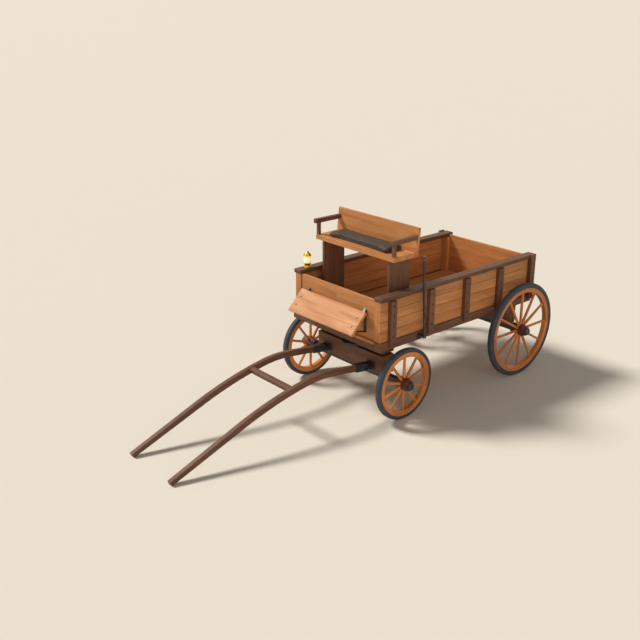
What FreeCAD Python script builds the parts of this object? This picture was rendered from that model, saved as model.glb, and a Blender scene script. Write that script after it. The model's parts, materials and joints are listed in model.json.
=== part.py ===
import FreeCAD, Part
import math
import os

# Light one-horse farm wagon, in millimetres. +Z is up, the wagon faces -Y, and its left side is +X.
# While it is built, Y = 0 is the front end of the side boards and Z = 0 is the ground. On export
# everything moves along Y, so that the origin is on the ground under the middle of the whole wagon.
# It is parked: the tips of the shafts rest on the ground, with no horse between them.

# Driving dimensions of the box.
BODY_WIDTH = 1280.0
BODY_LENGTH = 2333.0
SIDE_HEIGHT = 415.0
SIDE_BOARDS = 4
BOARD_THICKNESS = 28.0
BOARD_SEAM = 3.0
SILL_WIDTH = 83.0
SILL_HEIGHT = 87.0
SILL_LEDGE = 18.0
CROSS_SILL_LENGTH = 80.0
FLOOR_THICKNESS = 25.0
FLOOR_BOARDS = 9
FLOOR_SEAM = 3.0
CLEAT_WIDTH = 57.0
FRONT_CLEAT_LENGTH = 60.0
REAR_STOP_LENGTH = 55.0
REAR_STOP_REBATE = 35.0
REAR_CLEAT_LENGTH = 38.0
PANEL_SETBACK = 10.0
PANEL_RISE = 7.0

# Posts and top rails.
POST_COUNT = 5
POST_WIDTH = 76.0
POST_DEPTH = 48.0
POST_FRONT_INSET = 145.0
POST_REAR_INSET = 28.0
POST_TONGUE = 47.0
REAR_POST_EXTRA_DEPTH = 4.0
REAR_POST_RISE = 10.0
RAIL_HEIGHT = 43.0
RAIL_OUTSET = 22.0
RAIL_FRONT_OVERHANG = 5.0
RAIL_REAR_OVERHANG = 44.0

# Footboard.
FOOTBOARD_INSET = 155.0
FOOTBOARD_TOP_Y = -45.0
FOOTBOARD_TOP_Z = 1139.0
FOOTBOARD_BOTTOM_Y = -233.0
FOOTBOARD_BOTTOM_Z = 944.0
FOOTBOARD_THICKNESS = 28.0
BRACKET_BAR = 8.0
BRACKET_WIDTH = 30.0
BRACKET_INSET = 45.0
BRACKET_FOOT_Z = 905.0
BRACKET_TOE_FROM_EDGE = 45.0

# Seat.
SEAT_RISER_INSET = 140.0
SEAT_RISER_THICKNESS = 30.0
SEAT_RISER_FRONT = 250.0
SEAT_RISER_LENGTH = 285.0
SEAT_FRONT = 227.0
SEAT_DEPTH = 303.0
SEAT_INSET = 63.0
SEAT_UNDERSIDE_Z = 1602.0
SEAT_THICKNESS = 50.0
SEAT_BACK_INSET = 55.0
SEAT_BACK_HEIGHT = 290.0
SEAT_BACK_THICKNESS = 30.0
SEAT_BACK_LEAN = 23.0
ARM_WIDTH = 44.0
ARM_THICKNESS = 45.0
ARM_UNDERSIDE_RISE = 125.0
ARM_FRONT = 200.0
ARM_POST = 32.0
ARM_POST_FRONT = 233.0
CUSHION_INSET = 127.0
CUSHION_FRONT = 247.0
CUSHION_THICKNESS = 53.0
CUSHION_CLEARANCE = 0.3
CUSHION_BACK_CLEARANCE = 4.0
CUSHION_CORNER = 16.0

# Lantern on the right rail and brake lever on the left sill.
LANTERN_Y = 134.0
LANTERN_BASE_RADIUS = 40.0
LANTERN_NECK_RADIUS = 33.0
LANTERN_BASE_HEIGHT = 50.0
LANTERN_GLASS_RADIUS = 37.0
LANTERN_GLASS_WALL = 3.0
LANTERN_GLASS_HEIGHT = 76.0
LANTERN_CAP_RADIUS = 43.0
LANTERN_CAP_HEIGHT = 45.0
LANTERN_FOOT_TOP = 12.0
LANTERN_NECK_LOW = 22.0
LANTERN_NECK_HIGH = 34.0
LANTERN_COLLAR_HEIGHT = 8.0
LANTERN_BRIM_HEIGHT = 10.0
LANTERN_CONE_HEIGHT = 26.0
LANTERN_CONE_RADIUS = 31.0
LANTERN_CROWN_HEIGHT = 36.0
LANTERN_CROWN_RADIUS = 19.0
LANTERN_TOP_RADIUS = 13.0
LEVER_RADIUS = 14.0
LEVER_OUTSET = 62.0
LEVER_FOOT_Y = 565.0
LEVER_FOOT_Z = 816.0
LEVER_TOP_Y = 517.0
LEVER_TOP_Z = 1595.0
GRIP_RADIUS = 25.0
GRIP_LENGTH = 52.0
LEVER_PLATE_WIDTH = 110.0
LEVER_PLATE_HEIGHT = 62.0
LEVER_PLATE_THICKNESS = 8.0
LEVER_BOLT_RADIUS = 9.0
LEVER_CUP_WALL = 6.0
LEVER_CUP_DEPTH = 32.0

# Wheels.
FRONT_WHEEL_RADIUS = 375.0
REAR_WHEEL_RADIUS = 530.0
FRONT_SPOKES = 10
REAR_SPOKES = 12
FRONT_TYRE_DEPTH = 38.0
REAR_TYRE_DEPTH = 52.0
TYRE_WIDTH = 64.0
TYRE_ROUNDING = 12.0
RIM_DEPTH = 50.0
RIM_WIDTH = 54.0
RIM_ROUNDING = 6.0
SPOKE_DEPTH_HUB = 36.0
SPOKE_WIDTH_HUB = 29.0
SPOKE_DEPTH_RIM = 28.0
SPOKE_WIDTH_RIM = 25.0
SPOKE_FIT = 0.2
HUB_RADIUS = 65.0
HUB_BAND = 30.0
HUB_INNER_LENGTH = 100.0
HUB_OUTER_LENGTH = 90.0
HUB_INNER_RADIUS = 50.0
HUB_OUTER_RADIUS = 46.0
HUB_SWELL = 0.3
CAP_RADIUS = 38.0
CAP_LENGTH = 22.0
CAP_WALL = 7.0
FRONT_WHEEL_OUTSET = 85.0
REAR_WHEEL_OUTSET = 146.0
WHEEL_UNDER_SILL = 10.0

# Axles, bolsters, turntable and reach pole.
FRONT_AXLE_Y = 270.0
REAR_AXLE_INSET = 305.0
AXLE_SECTION = 60.0
SPINDLE_RADIUS = 25.0
SPINDLE_FIT = 0.3
SPINDLE_PAST_HUB = 5.0
AXLE_TO_HUB = 6.0
FRONT_BOLSTER_INSET = 150.0
FRONT_BOLSTER_LENGTH = 170.0
FRONT_BOLSTER_HEIGHT = 128.0
TURNTABLE_RADIUS = 140.0
TURNTABLE_PLATE = 12.0
TURNTABLE_GAP = 0.5
KINGPIN_RADIUS = 15.0
KINGPIN_FIT = 0.3
KINGPIN_IN_BOLSTER = 70.0
KINGPIN_NUT_RADIUS = 24.0
KINGPIN_NUT_HEIGHT = 18.0
KINGPIN_NUT_GAP = 5.0
REAR_BOLSTER_LENGTH = 150.0
REAR_BOLSTER_OUTSET = 10.0
REACH_WIDTH = 70.0
REACH_HEIGHT = 70.0
REACH_UNDER_SILL = 50.0

# Shafts, in their working pose: angles are above the forward horizontal.
SHAFT_HALF_SPACING = 330.0
SHAFT_WIDTH = 55.0
SHAFT_HEIGHT = 62.0
SHAFT_TIP_HEIGHT = 46.0
SHAFT_ROUNDING = 8.0
SHAFT_PIVOT_AHEAD = 45.0
SHAFT_PIVOT_ABOVE_AXLE = 100.0
SHAFT_WOOD_START = 60.0
SHAFT_REAR_RUN = 415.0
SHAFT_REAR_ANGLE = 34.5
SHAFT_MID_ANGLE = 18.0
SHAFT_FRONT_ANGLE = 6.5
SHAFT_SHARP_RADIUS = 1250.0
SHAFT_GENTLE_RADIUS = 4000.0
SHAFT_FRONT_RUN = 810.0
CROSSBAR_ALONG_BEND = 150.0
CROSSBAR_LENGTH = 58.0
CROSSBAR_HEIGHT = 50.0
CROSSBAR_BORE_RADIUS = 9.0
SOCKET_WALL = 6.0
SOCKET_LENGTH = 160.0
SOCKET_START = 20.0
EYE_RADIUS = 28.0
PIN_RADIUS = 12.0
PIN_FIT = 0.3
CLIP_THICKNESS = 10.0
CLIP_SIDE_GAP = 3.0
CLIP_PLATE_EDGE = 16.0
CLIP_PLATE_THICKNESS = 6.0
CLIP_PLATE_HALF_HEIGHT = 44.0
PIN_HEAD_RADIUS = 19.0
PIN_HEAD_LENGTH = 8.0

# Tailgate and its hinges.
TAILGATE_CLEARANCE = 6.0
TAILGATE_SETBACK = 5.0
TAILGATE_RISE = 25.0
HINGE_X = 330.0
STRAP_WIDTH = 50.0
STRAP_THICKNESS = 6.0
STRAP_LENGTH = 330.0
HINGE_PIN_RADIUS = 6.0
KNUCKLE_RADIUS = 13.0
HINGE_PLATE = 5.0
HINGE_GAP = 3.0
HINGE_EAR = 9.0
HINGE_PLATE_HEIGHT = 60.0

# Edges of dressed timber are eased by this much.
EASED_EDGE = 4.0
SMALL_EASED_EDGE = 2.5

# Levels and stations that follow from the sizes above.
half_body = BODY_WIDTH / 2
inside = half_body - BOARD_THICKNESS
sill_bottom = 2 * FRONT_WHEEL_RADIUS + WHEEL_UNDER_SILL
sill_top = sill_bottom + SILL_HEIGHT
side_top = sill_top + SIDE_HEIGHT
rail_top = side_top + RAIL_HEIGHT
sill_outer = half_body + SILL_LEDGE
sill_inner = sill_outer - SILL_WIDTH
rail_inner = inside - CLEAT_WIDTH
rail_outer = half_body + RAIL_OUTSET
rear_axle_y = BODY_LENGTH - REAR_AXLE_INSET
front_wheel_x = half_body + FRONT_WHEEL_OUTSET
rear_wheel_x = half_body + REAR_WHEEL_OUTSET
seat_top = SEAT_UNDERSIDE_Z + SEAT_THICKNESS
seat_rear = SEAT_FRONT + SEAT_DEPTH
bolster_bottom = sill_bottom - FRONT_BOLSTER_HEIGHT
bed_top = bolster_bottom - 2 * TURNTABLE_PLATE - TURNTABLE_GAP
bed_bottom = FRONT_WHEEL_RADIUS + AXLE_SECTION / 2
bed_front = FRONT_AXLE_Y - FRONT_BOLSTER_LENGTH / 2
pivot_y = bed_front - SHAFT_PIVOT_AHEAD
pivot_z = FRONT_WHEEL_RADIUS + SHAFT_PIVOT_ABOVE_AXLE


def box(x0, x1, y0, y1, z0, z1):
    """Block between two corners."""
    return Part.makeBox(x1 - x0, y1 - y0, z1 - z0, FreeCAD.Vector(x0, y0, z0))


def eased(shape, radius=EASED_EDGE):
    """The same shape with all its edges rounded."""
    return shape.makeFillet(radius, shape.Edges)


def beam(x0, x1, y0, y1, z0, z1, radius=EASED_EDGE):
    """Dressed timber: a block with eased edges."""
    return eased(box(x0, x1, y0, y1, z0, z1), radius)


def polygon_face(points):
    """Flat face inside a closed run of straight edges."""
    return Part.Face(Part.makePolygon(points + [points[0]]))


def prism_x(outline, x0, x1):
    """Extrusion along X of an outline of (y, z) points."""
    face = polygon_face([FreeCAD.Vector(x0, y, z) for y, z in outline])
    return face.extrude(FreeCAD.Vector(x1 - x0, 0, 0))


def prism_z(outline, z0, z1):
    """Extrusion along Z of an outline of (x, y) points."""
    face = polygon_face([FreeCAD.Vector(x, y, z0) for x, y in outline])
    return face.extrude(FreeCAD.Vector(0, 0, z1 - z0))


def rod(start, end, radius):
    """Round bar between two points."""
    first = FreeCAD.Vector(*start)
    along = FreeCAD.Vector(*end) - first
    return Part.makeCylinder(radius, along.Length, first, along)


def turned(profile):
    """Solid of revolution about the X axis, from closed edges in the XZ plane."""
    face = Part.Face(Part.Wire(profile))
    return face.revolve(FreeCAD.Vector(), FreeCAD.Vector(1, 0, 0), 360)


def turned_polygon(points):
    """Solid of revolution about the X axis, from (x, radius) points."""
    corners = [FreeCAD.Vector(x, 0, r) for x, r in points]
    corners.append(corners[0])
    return turned(Part.makePolygon(corners).Edges)


def mirrored(shape):
    """The same shape on the other side of the wagon."""
    return shape.mirror(FreeCAD.Vector(), FreeCAD.Vector(1, 0, 0))


def both_sides(shape):
    """A left-hand shape and its right-hand twin."""
    return [shape, mirrored(shape)]


# Shafts. A station is a point (y, z) on the centre line with the angle of the line there.

def heading(angle):
    """Unit vector (y, z) that points forward at an angle above the horizontal."""
    return (-math.cos(angle), math.sin(angle))


def upward(angle):
    """Unit vector (y, z) square to the heading, on its upper side."""
    return (math.sin(angle), math.cos(angle))


def moved(point, direction, distance):
    """Point (y, z) moved along a direction."""
    return (point[0] + direction[0] * distance, point[1] + direction[1] * distance)


def bend(station, radius, end_angle):
    """Stations at the middle and end of a bend that turns the line down to end_angle."""
    point, angle = station
    centre = moved(point, upward(angle), -radius)
    middle_angle = (angle + end_angle) / 2
    middle = (moved(centre, upward(middle_angle), radius), middle_angle)
    return middle, (moved(centre, upward(end_angle), radius), end_angle)


def shaft_stations():
    """Stations of the centre line from the wood's rear end to its tip, in the working pose."""
    rear_angle = math.radians(SHAFT_REAR_ANGLE)
    mid_angle = math.radians(SHAFT_MID_ANGLE)
    front_angle = math.radians(SHAFT_FRONT_ANGLE)
    rear = (moved((pivot_y, pivot_z), heading(rear_angle), SHAFT_WOOD_START), rear_angle)
    sharp_start = (moved(rear[0], heading(rear_angle), SHAFT_REAR_RUN), rear_angle)
    sharp_middle, sharp_end = bend(sharp_start, SHAFT_SHARP_RADIUS, mid_angle)
    gentle_middle, gentle_end = bend(sharp_end, SHAFT_GENTLE_RADIUS, front_angle)
    tip = (moved(gentle_end[0], heading(front_angle), SHAFT_FRONT_RUN), front_angle)
    return [rear, sharp_start, sharp_middle, sharp_end, gentle_middle, gentle_end, tip]


def offset_vectors(x, stations, heights):
    """Points at x that lie above each station by its height."""
    spots = [moved(point, upward(angle), height) for (point, angle), height in zip(stations, heights)]
    return [FreeCAD.Vector(x, y, z) for y, z in spots]


def shaft_edge(points):
    """Long edge of a shaft: run, sharp bend, gentle bend, run."""
    rear, sharp_start, sharp_middle, sharp_end, gentle_middle, gentle_end, tip = points
    return [
        Part.makeLine(rear, sharp_start),
        Part.Arc(sharp_start, sharp_middle, sharp_end).toShape(),
        Part.Arc(sharp_end, gentle_middle, gentle_end).toShape(),
        Part.makeLine(gentle_end, tip),
    ]


def parking_angle(stations):
    """Degrees that the shafts drop from the working pose until their tips rest on the ground."""
    (tip_y, tip_z), angle = stations[-1]
    under_y, under_z = moved((tip_y, tip_z), upward(angle), -SHAFT_TIP_HEIGHT / 2)
    reach = math.hypot(pivot_y - under_y, under_z - pivot_z)
    working = math.atan2(under_z - pivot_z, pivot_y - under_y)
    resting = -math.asin(pivot_z / reach)
    return math.degrees(working - resting)


stations = shaft_stations()
parked = parking_angle(stations)


def park(shape):
    """A shape of the shafts' working pose, lowered to the ground about the coupling pins."""
    lowered = shape.copy()
    lowered.rotate(FreeCAD.Vector(0, pivot_y, pivot_z), FreeCAD.Vector(1, 0, 0), parked)
    return lowered


def tip_front():
    """Most forward Y of the parked shafts."""
    (tip_y, tip_z), angle = stations[-1]
    turn = math.radians(parked)
    spots = [moved((tip_y, tip_z), upward(angle), side * SHAFT_TIP_HEIGHT / 2) for side in (-1, 1)]
    offsets = [(y - pivot_y, z - pivot_z) for y, z in spots]
    return pivot_y + min(y * math.cos(turn) - z * math.sin(turn) for y, z in offsets)


def shaft_wood():
    """Left shaft: a bent bar of even depth whose front run tapers to the tip."""
    x0 = SHAFT_HALF_SPACING - SHAFT_WIDTH / 2
    depth = SHAFT_HEIGHT / 2
    heights = [depth] * (len(stations) - 1) + [SHAFT_TIP_HEIGHT / 2]
    top = offset_vectors(x0, stations, heights)
    bottom = offset_vectors(x0, stations, [-height for height in heights])
    edges = shaft_edge(top) + [Part.makeLine(top[-1], bottom[-1])]
    edges += reversed(shaft_edge(bottom))
    edges.append(Part.makeLine(bottom[0], top[0]))
    face = Part.Face(Part.Wire(edges))
    bar = face.extrude(FreeCAD.Vector(SHAFT_WIDTH, 0, 0))
    ends = (x0, x0 + SHAFT_WIDTH)
    long_edges = [e for e in bar.Edges
                  if e.Length > SHAFT_HEIGHT and abs(e.Vertexes[0].X - e.Vertexes[1].X) < 1
                  and min(abs(e.Vertexes[0].X - x) for x in ends) < 1]
    return park(bar.makeFillet(SHAFT_ROUNDING, long_edges))


def shaft_socket():
    """Left socket: forged box round the shaft's rear end, with an eye for the coupling pin."""
    half_width = SHAFT_WIDTH / 2 + SOCKET_WALL
    half_height = SHAFT_HEIGHT / 2 + SOCKET_WALL
    body = box(-half_width, half_width, -SOCKET_START - SOCKET_LENGTH, -SOCKET_START,
               -half_height, half_height)
    pocket = box(-SHAFT_WIDTH / 2, SHAFT_WIDTH / 2, -SOCKET_START - SOCKET_LENGTH, -SHAFT_WOOD_START,
                 -SHAFT_HEIGHT / 2, SHAFT_HEIGHT / 2)
    eye = rod((-half_width, 0, 0), (half_width, 0, 0), EYE_RADIUS)
    bore = rod((-half_width, 0, 0), (half_width, 0, 0), PIN_RADIUS + PIN_FIT)
    socket = body.cut(pocket).fuse(eye).cut(bore).removeSplitter()
    socket.rotate(FreeCAD.Vector(), FreeCAD.Vector(1, 0, 0), -SHAFT_REAR_ANGLE)
    socket.translate(FreeCAD.Vector(SHAFT_HALF_SPACING, pivot_y, pivot_z))
    return park(socket)


def crossbar():
    """Bar between the shafts, a little past their sharp bend, with a hole for a singletree pin."""
    angle = stations[3][1] - CROSSBAR_ALONG_BEND / SHAFT_GENTLE_RADIUS
    centre = moved(stations[3][0], upward(stations[3][1]), -SHAFT_GENTLE_RADIUS)
    y, z = moved(centre, upward(angle), SHAFT_GENTLE_RADIUS)
    half = SHAFT_HALF_SPACING - SHAFT_WIDTH / 2
    bar = box(-half, half, -CROSSBAR_LENGTH / 2, CROSSBAR_LENGTH / 2,
              -CROSSBAR_HEIGHT / 2, CROSSBAR_HEIGHT / 2)
    long_edges = [e for e in bar.Edges if e.Length > half]
    bar = bar.makeFillet(SHAFT_ROUNDING, long_edges)
    bar = bar.cut(rod((0, 0, -CROSSBAR_HEIGHT), (0, 0, CROSSBAR_HEIGHT), CROSSBAR_BORE_RADIUS))
    bar.rotate(FreeCAD.Vector(), FreeCAD.Vector(1, 0, 0), -math.degrees(angle))
    bar.translate(FreeCAD.Vector(0, y, z))
    return park(bar)


def clip():
    """Left coupling: two ears on a plate bolted to the front of the axle bed."""
    inner = SHAFT_WIDTH / 2 + SOCKET_WALL + CLIP_SIDE_GAP
    outer = inner + CLIP_THICKNESS
    plate_front = bed_front - CLIP_PLATE_THICKNESS
    plate = box(-outer - CLIP_PLATE_EDGE, outer + CLIP_PLATE_EDGE, plate_front, bed_front,
                pivot_z - CLIP_PLATE_HALF_HEIGHT, pivot_z + CLIP_PLATE_HALF_HEIGHT)
    shape = plate
    for side in (-1, 1):
        x0 = min(side * inner, side * outer)
        ear = box(x0, x0 + CLIP_THICKNESS, pivot_y, plate_front, pivot_z - EYE_RADIUS, pivot_z + EYE_RADIUS)
        nose = rod((x0, pivot_y, pivot_z), (x0 + CLIP_THICKNESS, pivot_y, pivot_z), EYE_RADIUS)
        shape = shape.fuse(ear).fuse(nose)
    pin = rod((-outer - PIN_HEAD_LENGTH, pivot_y, pivot_z), (outer + PIN_HEAD_LENGTH, pivot_y, pivot_z),
              PIN_RADIUS)
    shape = shape.fuse(pin)
    for side in (-1, 1):
        head = rod((side * outer, pivot_y, pivot_z), (side * (outer + PIN_HEAD_LENGTH), pivot_y, pivot_z),
                   PIN_HEAD_RADIUS)
        shape = shape.fuse(head)
    shape = shape.removeSplitter()
    shape.translate(FreeCAD.Vector(SHAFT_HALF_SPACING, 0, 0))
    return shape


# Box of the wagon.

def floor_boards():
    """Floor boards that run lengthwise between the sills, on the cross sills."""
    pitch = (2 * sill_inner + FLOOR_SEAM) / FLOOR_BOARDS
    width = pitch - FLOOR_SEAM
    front = -SILL_LEDGE
    rear = BODY_LENGTH + SILL_LEDGE
    starts = [-sill_inner + pitch * i for i in range(FLOOR_BOARDS)]
    return [box(x, x + width, front, rear, sill_top - FLOOR_THICKNESS, sill_top) for x in starts]


def side_sills():
    """Long sills under the side boards, a ledge wider than the boards."""
    return both_sides(beam(sill_inner, sill_outer, -SILL_LEDGE, BODY_LENGTH + SILL_LEDGE,
                           sill_bottom, sill_top))


def cross_sills():
    """Cross sills between the long ones: both ends, over both bolsters, and two between."""
    first = CROSS_SILL_LENGTH / 2 - SILL_LEDGE
    last = BODY_LENGTH + SILL_LEDGE - CROSS_SILL_LENGTH / 2
    gap = (rear_axle_y - FRONT_AXLE_Y) / 3
    centres = [first] + [FRONT_AXLE_Y + gap * i for i in range(4)] + [last]
    top = sill_top - FLOOR_THICKNESS
    half = CROSS_SILL_LENGTH / 2
    return [box(-sill_inner, sill_inner, y - half, y + half, sill_bottom, top) for y in centres]


def side_boards():
    """Left side: horizontal boards on edge, one above another."""
    pitch = (SIDE_HEIGHT + BOARD_SEAM) / SIDE_BOARDS
    height = pitch - BOARD_SEAM
    lows = [sill_top + pitch * i for i in range(SIDE_BOARDS)]
    return [beam(inside, half_body, 0, BODY_LENGTH, z, z + height, SMALL_EASED_EDGE) for z in lows]


def side_posts():
    """Posts outside the boards. Each has a tongue down the sill, and the last rises past the rail."""
    gap = (BODY_LENGTH - POST_FRONT_INSET - POST_REAR_INSET) / (POST_COUNT - 1)
    posts = []
    for i in range(POST_COUNT):
        y0 = POST_FRONT_INSET + gap * i - POST_WIDTH / 2
        outer = half_body + POST_DEPTH
        post = box(half_body, outer, y0, y0 + POST_WIDTH, sill_top - POST_TONGUE, side_top)
        if i == POST_COUNT - 1:
            outer = outer + REAR_POST_EXTRA_DEPTH
            post = box(half_body, outer, y0, y0 + POST_WIDTH, sill_top - POST_TONGUE,
                       rail_top + REAR_POST_RISE)
            post = post.cut(box(half_body, rail_outer, y0, y0 + POST_WIDTH, side_top,
                                rail_top + REAR_POST_RISE))
        post = post.cut(box(half_body, sill_outer, y0, y0 + POST_WIDTH, sill_bottom, sill_top))
        outside_edges = [e for e in post.Edges if min(v.X for v in e.Vertexes) > outer - 1]
        posts += both_sides(post.makeFillet(EASED_EDGE, outside_edges))
    return posts


def top_rails():
    """Capping rails over boards, posts and cleats."""
    return both_sides(beam(rail_inner, rail_outer, -RAIL_FRONT_OVERHANG, BODY_LENGTH + RAIL_REAR_OVERHANG,
                           side_top, rail_top, 2 * EASED_EDGE))


def corner_cleats():
    """Upright cleats in the four inner corners. The rear ones have a rebate that stops the tailgate."""
    front = box(rail_inner, inside, 0, FRONT_CLEAT_LENGTH, sill_top, side_top)
    stop_rear = BODY_LENGTH - REAR_CLEAT_LENGTH
    stop_front = stop_rear - REAR_STOP_LENGTH
    stop_inner = rail_inner - REAR_STOP_REBATE
    rear = prism_z([
        (stop_inner, stop_front), (inside, stop_front), (inside, BODY_LENGTH),
        (rail_inner, BODY_LENGTH), (rail_inner, stop_rear), (stop_inner, stop_rear),
    ], sill_top, side_top)
    return both_sides(front) + both_sides(rear)


def front_panel():
    """Front end of the box, between the cleats."""
    return beam(-rail_inner, rail_inner, PANEL_SETBACK, PANEL_SETBACK + BOARD_THICKNESS,
                sill_top, side_top + PANEL_RISE, SMALL_EASED_EDGE)


# Footboard.

def footboard_axes():
    """Unit vectors (y, z) down the footboard's face and square to it, towards the wagon."""
    fall_y = FOOTBOARD_BOTTOM_Y - FOOTBOARD_TOP_Y
    fall_z = FOOTBOARD_BOTTOM_Z - FOOTBOARD_TOP_Z
    length = math.hypot(fall_y, fall_z)
    down = (fall_y / length, fall_z / length)
    return down, (-down[1], down[0]), length


def footboard():
    """Slanted board that the driver's feet rest on."""
    down, inward, length = footboard_axes()
    top = (FOOTBOARD_TOP_Y, FOOTBOARD_TOP_Z)
    bottom = (FOOTBOARD_BOTTOM_Y, FOOTBOARD_BOTTOM_Z)
    outline = [top, bottom, moved(bottom, inward, FOOTBOARD_THICKNESS), moved(top, inward, FOOTBOARD_THICKNESS)]
    half = half_body - FOOTBOARD_INSET
    return eased(prism_x(outline, -half, half), SMALL_EASED_EDGE)


def footboard_brackets():
    """Left bracket: a bent iron bar, up the panel, down under the board and back to the panel."""
    down, inward, length = footboard_axes()
    panel = PANEL_SETBACK
    under_top = moved((FOOTBOARD_TOP_Y, FOOTBOARD_TOP_Z), inward, FOOTBOARD_THICKNESS)
    slope = down[1] / down[0]
    head = (panel, under_top[1] + (panel - under_top[0]) * slope)
    toe = moved(under_top, down, length - BRACKET_TOE_FROM_EDGE)
    foot = (panel, BRACKET_FOOT_Z)
    outer = [head, toe, foot]
    # The inner outline is the outer one drawn in towards the incentre by one bar thickness.
    sides = [math.dist(toe, foot), math.dist(head, foot), math.dist(head, toe)]
    around = sum(sides)
    centre = tuple(sum(side * p[i] for side, p in zip(sides, outer)) / around for i in (0, 1))
    half = around / 2
    inradius = math.sqrt(half * (half - sides[0]) * (half - sides[1]) * (half - sides[2])) / half
    share = 1 - BRACKET_BAR / inradius
    inner = [tuple(centre[i] + (p[i] - centre[i]) * share for i in (0, 1)) for p in outer]
    x1 = half_body - FOOTBOARD_INSET - BRACKET_INSET
    bar = prism_x(outer, x1 - BRACKET_WIDTH, x1)
    return bar.cut(prism_x(inner, x1 - BRACKET_WIDTH, x1))


# Seat.

def back_front_y(z):
    """Y of the backrest's front face at a height: upright beside the seat board, leaning above it."""
    lean_height = SEAT_UNDERSIDE_Z + SEAT_BACK_HEIGHT - seat_top
    return seat_rear + SEAT_BACK_LEAN * (z - seat_top) / lean_height


def seat_back():
    """Backrest board behind the seat board."""
    top = SEAT_UNDERSIDE_Z + SEAT_BACK_HEIGHT
    front = [(seat_rear, SEAT_UNDERSIDE_Z), (seat_rear, seat_top), (back_front_y(top), top)]
    rear = [(y + SEAT_BACK_THICKNESS, z) for y, z in reversed(front)]
    half = half_body - SEAT_BACK_INSET
    return eased(prism_x(front + rear, -half, half), SMALL_EASED_EDGE)


def seat_risers():
    """Planks on edge, from the floor to the seat board."""
    outer = half_body - SEAT_RISER_INSET
    return both_sides(beam(outer - SEAT_RISER_THICKNESS, outer, SEAT_RISER_FRONT,
                           SEAT_RISER_FRONT + SEAT_RISER_LENGTH, sill_top, SEAT_UNDERSIDE_Z,
                           SMALL_EASED_EDGE))


def seat_board():
    """Board that the cushion lies on."""
    half = half_body - SEAT_INSET
    return beam(-half, half, SEAT_FRONT, seat_rear, SEAT_UNDERSIDE_Z, seat_top)


def armrest():
    """Left armrest: a bar to the backrest on a square post."""
    outer = half_body - SEAT_BACK_INSET
    low = seat_top + ARM_UNDERSIDE_RISE
    high = low + ARM_THICKNESS
    bar = prism_x([(ARM_FRONT, low), (back_front_y(low), low), (back_front_y(high), high), (ARM_FRONT, high)],
                  outer - ARM_WIDTH, outer)
    post_outer = half_body - SEAT_INSET - EASED_EDGE
    post = box(post_outer - ARM_POST, post_outer, ARM_POST_FRONT, ARM_POST_FRONT + ARM_POST, seat_top, low)
    front_edges = [e for e in bar.Edges if min(v.Y for v in e.Vertexes) < ARM_FRONT + 1
                   or e.Length > ARM_THICKNESS * 2]
    return bar.makeFillet(EASED_EDGE, front_edges).fuse(post)


def seat_cushion():
    """Loose cushion on the seat board."""
    half = half_body - SEAT_INSET - CUSHION_INSET
    low = seat_top + CUSHION_CLEARANCE
    return beam(-half, half, CUSHION_FRONT, seat_rear - CUSHION_BACK_CLEARANCE, low, low + CUSHION_THICKNESS,
                CUSHION_CORNER)


# Lantern and brake lever.

def upright(shape):
    """A shape turned about X, stood on the lantern's place on the right rail."""
    shape.rotate(FreeCAD.Vector(), FreeCAD.Vector(0, 1, 0), -90)
    rail_middle = (rail_inner + rail_outer) / 2
    shape.translate(FreeCAD.Vector(-rail_middle, LANTERN_Y, rail_top))
    return shape


def lantern_metal():
    """Brass base and cap, above and below the glass."""
    glass_top = LANTERN_BASE_HEIGHT + LANTERN_GLASS_HEIGHT
    top = glass_top + LANTERN_CAP_HEIGHT
    base = turned_polygon([
        (0, 0), (0, LANTERN_BASE_RADIUS), (LANTERN_FOOT_TOP, LANTERN_BASE_RADIUS),
        (LANTERN_NECK_LOW, LANTERN_NECK_RADIUS), (LANTERN_NECK_HIGH, LANTERN_NECK_RADIUS),
        (LANTERN_BASE_HEIGHT - LANTERN_COLLAR_HEIGHT, LANTERN_BASE_RADIUS),
        (LANTERN_BASE_HEIGHT, LANTERN_BASE_RADIUS), (LANTERN_BASE_HEIGHT, 0),
    ])
    cap = turned_polygon([
        (glass_top, 0), (glass_top, LANTERN_CAP_RADIUS),
        (glass_top + LANTERN_BRIM_HEIGHT, LANTERN_CAP_RADIUS),
        (glass_top + LANTERN_CONE_HEIGHT, LANTERN_CONE_RADIUS),
        (glass_top + LANTERN_CROWN_HEIGHT, LANTERN_CROWN_RADIUS),
        (top, LANTERN_TOP_RADIUS), (top, 0),
    ])
    return [upright(base), upright(cap)]


def lantern_glass():
    """Glass chimney of the lantern."""
    low = LANTERN_BASE_HEIGHT
    high = low + LANTERN_GLASS_HEIGHT
    inner = LANTERN_GLASS_RADIUS - LANTERN_GLASS_WALL
    return upright(turned_polygon([
        (low, inner), (low, LANTERN_GLASS_RADIUS), (high, LANTERN_GLASS_RADIUS), (high, inner),
    ]))


def lever_point(share):
    """Point on the brake lever's axis, from its foot at 0 to its top at 1."""
    y = LEVER_FOOT_Y + (LEVER_TOP_Y - LEVER_FOOT_Y) * share
    z = LEVER_FOOT_Z + (LEVER_TOP_Z - LEVER_FOOT_Z) * share
    return (half_body + LEVER_OUTSET, y, z)


def brake_lever():
    """Iron rod beside the driver."""
    return rod(lever_point(0), lever_point(1), LEVER_RADIUS)


def brake_grip():
    """Turned wooden grip on the lever's top."""
    length = math.dist(lever_point(0), lever_point(1))
    grip = rod(lever_point(1), lever_point(1 + GRIP_LENGTH / length), GRIP_RADIUS)
    return eased(grip, 2 * EASED_EDGE)


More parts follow.
